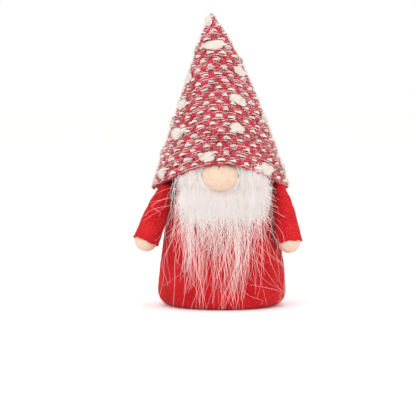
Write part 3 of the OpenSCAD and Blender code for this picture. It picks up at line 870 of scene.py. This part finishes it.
flyaways = {
    "strays": 120, "strayRadius": (0.035, 0.06), "curls": 22, "curlRadius": (0.028, 0.042), "seed": 76,
    # where curls start and about where they end (x, z)
    "curlEnds": [(-22, 52, -33, 38), (-21, 50, -30, 27), (-20, 46, -27, 14), (-18, 54, -34, 46),
                 (20, 52, 29, 30), (21, 48, 31, 22), (19, 44, 30, 12), (17, 30, 27, 4), (-17, 30, -25, 8),
                 (14, 12, 20, 1), (18, 36, 24, 18), (20, 54, 31, 44)],
}


def beardHalf(z):
    # Half the beard's width at height z.
    fold = beardShape["foldZ"]
    low = beardShape["halfWidth"] - beardShape["taper"] * (fold - z) / (fold - beardShape["tipZ"])
    high = beardShape["halfWidth"] - beardShape["topTaper"] * (z - fold) / (beardShape["topZ"] - fold)
    return np.where(z > fold, high, low)


def fromNose(x, z):
    return np.hypot(x - noseGap["x"], (z - noseGap["z"]) * noseGap["squash"])


def beardFront(x, z, off):
    # A point off the front of the body by off, at x and z, on the beard's own flatter curve.
    share = np.clip((z - beardShape["foldZ"]) / 9, 0, 1)
    bend = beardShape["bend"] + (float(bodyAt(beardShape["foldZ"])) - beardShape["bend"]) * share * 0.6
    front = bodyAt(np.maximum(z, bagShape["cornerR"])) + off
    return np.stack([x, -front + bend - np.sqrt(np.maximum(bend ** 2 - x ** 2, 1.0)), z], -1)


def makeBeardBacking():
    # The knitted backing of the fur, glued above the fold and free below it.
    rings = []
    for z in np.linspace(beardShape["backingEnd"], beardShape["topZ"] - 0.4, 44):
        half = float(beardHalf(z)) * 0.97
        x = np.linspace(-half, half, 40)
        # the fur was cut by hand, so its lower edge is uneven
        low = np.clip(1 - (z - beardShape["backingEnd"]) / 8, 0, 1)
        height = z + low * (1.6 + 1.0 * np.sin(x * 0.9) + 0.7 * np.sin(x * 2.1 + 1))
        back = beardFront(x, height, beardShape["offset"])
        front = beardFront(x[::-1], height[::-1], beardShape["offset"] + beardShape["backing"])
        rings.append(np.concatenate([back, front]))
    backing = gridPiece("beardBacking", np.stack(rings), furBacking, slot="fur_backing")
    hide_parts("beard_backing_top", "beard_backing_flap")
    return backing


def makeBeardDown():
    # The dense soft underfur, uneven and ragged at its lower edge.
    rings = []
    count = 40
    for k in range(34):
        s = k / 33
        u = np.linspace(-1, 1, count)
        top = beardShape["downTop"] - 1.5 * np.abs(u) ** 3
        ragged = 2.6 * np.sin(u * 9 + 1) + 2.2 * np.sin(u * 23) + 1.6 * np.sin(u * 41 + 2)
        end = beardShape["downEnd"] + ragged + 5 * np.abs(u) ** 2
        z = end + (top - end) * s
        x = u * beardHalf(z)
        body = np.sin(math.pi * np.clip(s, 0.03, 0.93)) ** 0.5 * (1 - 0.75 * np.abs(u) ** 4)
        away = fromNose(x, z) - noseGap["down"]
        thick = 0.15 + beardShape["downThick"] * body * np.clip(away / 3, 0.02, 1)
        front = beardFront(x, z, beardShape["offset"] + beardShape["backing"] + thick)
        back = beardFront(x, z, beardShape["offset"] + beardShape["backing"] + 0.05)
        rings.append(np.concatenate([back, front[::-1]]))
    rings = np.stack(rings)
    flat = rings.reshape(-1, 3)
    tuft = ripple(flat * [1.6, 1, 0.35], 1.6, 33, 3)
    outer = np.tile(np.arange(2 * count) >= count, len(rings))
    flat = flat + np.array([0, -1, 0]) * (0.35 * tuft * outer)[:, None]
    down = gridPiece("beardDown", flat.reshape(rings.shape), furDown, slot="white_fur")
    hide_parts("beard_pile_top", "beard_pile_flap")
    return down


def combHair(lot):
    # Paths of one lot of hair: out of the backing, then down, wavy, drawn together in clumps.
    rng = np.random.default_rng(lot["seed"])
    count, steps = lot["count"], 13
    rootZ = rng.uniform(*lot["rootZ"], count)
    u = rng.uniform(-1, 1, count)
    rootX = u * beardHalf(rootZ) * lot["width"] + rng.normal(0.9, 1.0, count)
    # most hairs are near the short end of their range, and shorter towards the sides
    low, high = lot["length"]
    length = (low + (high - low) * rng.random(count) ** 1.9) * (1 - 0.2 * np.abs(u) ** 2)
    length = np.minimum(length, rootZ - rng.uniform(0.8, 6, count))
    # the hair draws together in tufts of uneven length
    centres = np.sort(rng.uniform(-1.15, 1.25, 40)) * beardShape["halfWidth"]
    tuft = np.abs(rootX[:, None] - centres[None]).argmin(1)
    length = length * rng.uniform(0.62, 1.2, len(centres))[tuft]
    target = centres[tuft] + rng.normal(0, 0.35, count)
    stand = rng.uniform(*lot["stand"], count)
    phase = rng.uniform(0, 6.3, (count, 3))
    speed = rng.uniform(1.2, 3.2, (count, 2))
    lean = rng.normal(0, lot["lean"], count) + rootX * 0.02
    s = np.linspace(0, 1, steps)[None]
    wave = lot["wave"] * s * (np.sin(phase[:, :1] + speed[:, :1] * 6 * s) - np.sin(phase[:, :1]) * (1 - s))
    x = rootX[:, None] + (target - rootX)[:, None] * lot["clump"] * s ** 0.8 + lean[:, None] * s ** 1.6 + wave
    z = rootZ[:, None] - length[:, None] * (s - 0.04 * np.sin(math.pi * s))
    z = np.maximum(z, 0.35 + 0.3 * rng.random((count, 1)))
    off = 1.0 + stand[:, None] * np.sin(math.pi * np.clip(s * 2.2, 0, 1) / 2) * (1 - 0.45 * s)
    if "front" in lot:
        # this hair comes out from under the brim and then hangs straight down
        front = rng.uniform(*lot["front"], (count, 1)) - 3.0 * np.clip((s - 0.5) / 0.5, 0, 1)
        off = off + (front - bodyAt(z) - off) * np.clip(s / 0.22, 0, 1) ** 0.7
    off = off + 0.35 * lot["wave"] * s * np.sin(phase[:, 1:2] + speed[:, 1:] * 5 * s)
    # hair parts round the nose
    high = np.clip((z - 53.0) / 3, 0, 1)
    push = np.clip(noseGap["hair"] - fromNose(x, z), 0, 9) * high
    x = x + np.where(x >= noseGap["x"], 1, -1) * push
    paths = beardFront(x, z, np.maximum(off, 0.9))
    radii = rng.uniform(*lot["radius"], count)[:, None] * (1 - 0.75 * s ** 2)
    return paths, radii, rng.uniform(*lot["tone"], count)


def hangHair(rootX, rootZ, endX, endZ, stand, wave, rng, steps=22):
    # Long hair from its roots to its ends, lying near the front of the body and never under the floor.
    count = len(rootX)
    s = np.linspace(0, 1, steps)[None]
    phase = rng.uniform(0, 6.3, (count, 4))
    bend = np.sin(phase[:, :1] + 4.5 * s) - np.sin(phase[:, :1]) * (1 - s) - np.sin(phase[:, :1] + 4.5) * s
    fine = np.sin(phase[:, 1:2] + 13 * s) * s
    x = rootX[:, None] + (endX - rootX)[:, None] * s + wave[:, None] * (bend + 0.25 * fine)
    z = rootZ[:, None] + (endZ - rootZ)[:, None] * (s - 0.03 * np.sin(math.pi * s))
    off = 1.1 + stand[:, None] * np.sin(math.pi * np.clip(s * 1.4, 0, 1) / 2) * (1 - 0.5 * s)
    off = off + 0.3 * wave[:, None] * s * np.sin(phase[:, 2:3] + 6 * s)
    return beardFront(x, np.maximum(z, 0.4), np.maximum(off, 0.9)), s


def makeLocks():
    # Locks of long hair that reach down over the body, drawn together towards their middles.
    rng = np.random.default_rng(locks["seed"])
    paths, radii, tones = [], [], []
    for rootX, rootZ, endX, endZ, count, spread in locks["places"]:
        away = rng.normal(0, 1, count)
        start = rootX + away * 2.2
        end = endX + away * spread + rng.normal(0, 0.5, count)
        height = rootZ + rng.uniform(-4, 5, count)
        low = endZ + rng.exponential(5, count)
        stand = rng.uniform(1.6, 3.0, count)
        path, s = hangHair(start, height, end, np.minimum(low, height - 12), stand,
                           rng.uniform(0.9, 2.8, count), rng)
        middle = path.mean(0, keepdims=True)
        gather = 0.45 * np.sin(math.pi * np.clip(s * 1.1, 0, 1))[..., None]
        path[..., :2] += (middle - path)[..., :2] * gather
        paths.append(path)
        radii.append(rng.uniform(*locks["radius"], count)[:, None] * (1 - 0.6 * s ** 2))
        tones.append(rng.uniform(0.5, 1.0, count))
    return np.concatenate(paths), np.concatenate(radii), np.concatenate(tones)


def makeStrays():
    # Single long hairs that cross the body, and curls that stray over the sleeves and the sides.
    rng = np.random.default_rng(flyaways["seed"])
    count = flyaways["strays"]
    rootX = rng.uniform(-19, 20, count)
    rootZ = rng.uniform(40, 60, count)
    endX = rootX * 0.75 + rng.normal(0, 8, count)
    endZ = np.maximum(rng.uniform(-4, 30, count), 0.5)
    paths, s = hangHair(rootX, rootZ, endX, endZ, rng.uniform(1.5, 4.0, count),
                        rng.uniform(0.5, 2.4, count), rng)
    radii = rng.uniform(*flyaways["strayRadius"], count)[:, None] * (1 - 0.5 * s ** 2)
    count = flyaways["curls"]
    ends = np.array(flyaways["curlEnds"])[rng.integers(0, len(flyaways["curlEnds"]), count)]
    ends = ends + rng.normal(0, 1, ends.shape) * [1.5, 2.0, 3.0, 5.0]
    curl, s = hangHair(ends[:, 0], ends[:, 1], ends[:, 2], np.maximum(ends[:, 3], 0.6),
                       rng.uniform(2.0, 5.0, count), rng.uniform(2.5, 6.0, count), rng)
    curl[..., 1] -= 5.0 * np.clip((np.abs(curl[..., 0]) - 19) / 8, 0, 1.6)
    thin = rng.uniform(*flyaways["curlRadius"], count)[:, None] * (1 - 0.4 * s ** 2)
    tone = rng.uniform(0.5, 1.0, len(paths) + count)
    return np.concatenate([paths, curl]), np.concatenate([radii, thin]), tone


def makeBeard():
    backing = makeBeardBacking()
    down = makeBeardDown()
    hair = []
    for lot in hairLots:
        paths, radii, tone = combHair(lot)
        hair.append(strandPiece(lot["name"], paths, radii, tone, furHair, slot="white_fur"))
    for name, strands in (("beardLocks", makeLocks()), ("beardStrays", makeStrays())):
        hair.append(strandPiece(name, *strands, furHair, slot="white_fur"))
    # every piece of the beard has its placement applied to its points
    for piece in [backing, down] + hair:
        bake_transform(piece)


makeBeard()
print("beard made")


# ---- finishes of the inner pieces that keep their CAD shape ----

for node, material in (("base_card", greyCard), ("ballast_grains", drySand), ("hat_glue_bead", setGlue),
                       ("nose_glue", setGlue), ("left_hand_glue", setGlue), ("right_hand_glue", setGlue)):
    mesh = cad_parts[node].data
    mesh.materials.clear()
    mesh.materials.append(material)


# ---- floor, light and camera ----

studio = {
    "floor": "#fdfdfc", "floorZ": -0.02, "world": "#ffffff", "worldStrength": 1.0, "lightsAimZ": 60,
    "lights": [
        # name, position, size, power
        ("keySoftbox", (-420, -620, 620), 420, 2.2),
        ("fillSoftbox", (560, -520, 360), 520, 0.9),
        ("topSoftbox", (40, 120, 760), 600, 1.2),
    ],
    "cameraTarget": (-6.4, 0.0, 44.6), "cameraDistance": 1000, "elevation": 3.5, "lens": 188.0,
}


def makeStudio():
    # White paper, matte; its slight glow meets the white of the backdrop.
    rings = lathe([(r, studio["floorZ"]) for r in (1, 60, 400, 1600, 5000)], 64)
    material, tree, shader = newMaterial("studioPaper", {
        "Roughness": 0.8, "Specular IOR Level": 0.2,
        "Emission Color": (1, 1, 1, 1), "Emission Strength": 0.03,
    })
    place = addNode(tree, "ShaderNodeTexCoord", {}).outputs["Object"]
    cloud = addNode(tree, "ShaderNodeTexNoise", {"Scale": 12.0}, {"Vector": place})
    paint(tree, shader, cloud.outputs["Fac"], [(0.3, "#fafaf9"), (0.7, studio["floor"])])
    floor = gridPiece("floor", rings[:, ::-1], material, caps=(True, False))
    world = bpy.data.worlds.new("studio")
    world.use_nodes = True
    background = world.node_tree.nodes["Background"]
    background.inputs["Color"].default_value = toLinear(studio["world"])
    background.inputs["Strength"].default_value = studio["worldStrength"]
    scene.world = world
    middle = Vector((0, 0, studio["lightsAimZ"] * 0.001))
    for name, place, size, power in studio["lights"]:
        data = bpy.data.lights.new(name, "AREA")
        data.size = size * 0.001
        data.energy = power
        light = bpy.data.objects.new(name, data)
        light.location = Vector(place) * 0.001
        light.rotation_mode = "QUATERNION"
        light.rotation_quaternion = (middle - light.location).to_track_quat("-Z", "Y")
        scene.collection.objects.link(light)
    data = bpy.data.cameras.new("camera")
    data.lens = studio["lens"]
    data.sensor_width = 36
    data.clip_end = 50
    camera = bpy.data.objects.new("camera", data)
    up = math.radians(studio["elevation"])
    back = Vector((0, -math.cos(up), math.sin(up)))
    camera.location = (Vector(studio["cameraTarget"]) + back * studio["cameraDistance"]) * 0.001
    camera.rotation_mode = "QUATERNION"
    camera.rotation_quaternion = (-back).to_track_quat("-Z", "Y")
    scene.collection.objects.link(camera)
    scene.camera = camera


makeStudio()
print("scene finished")
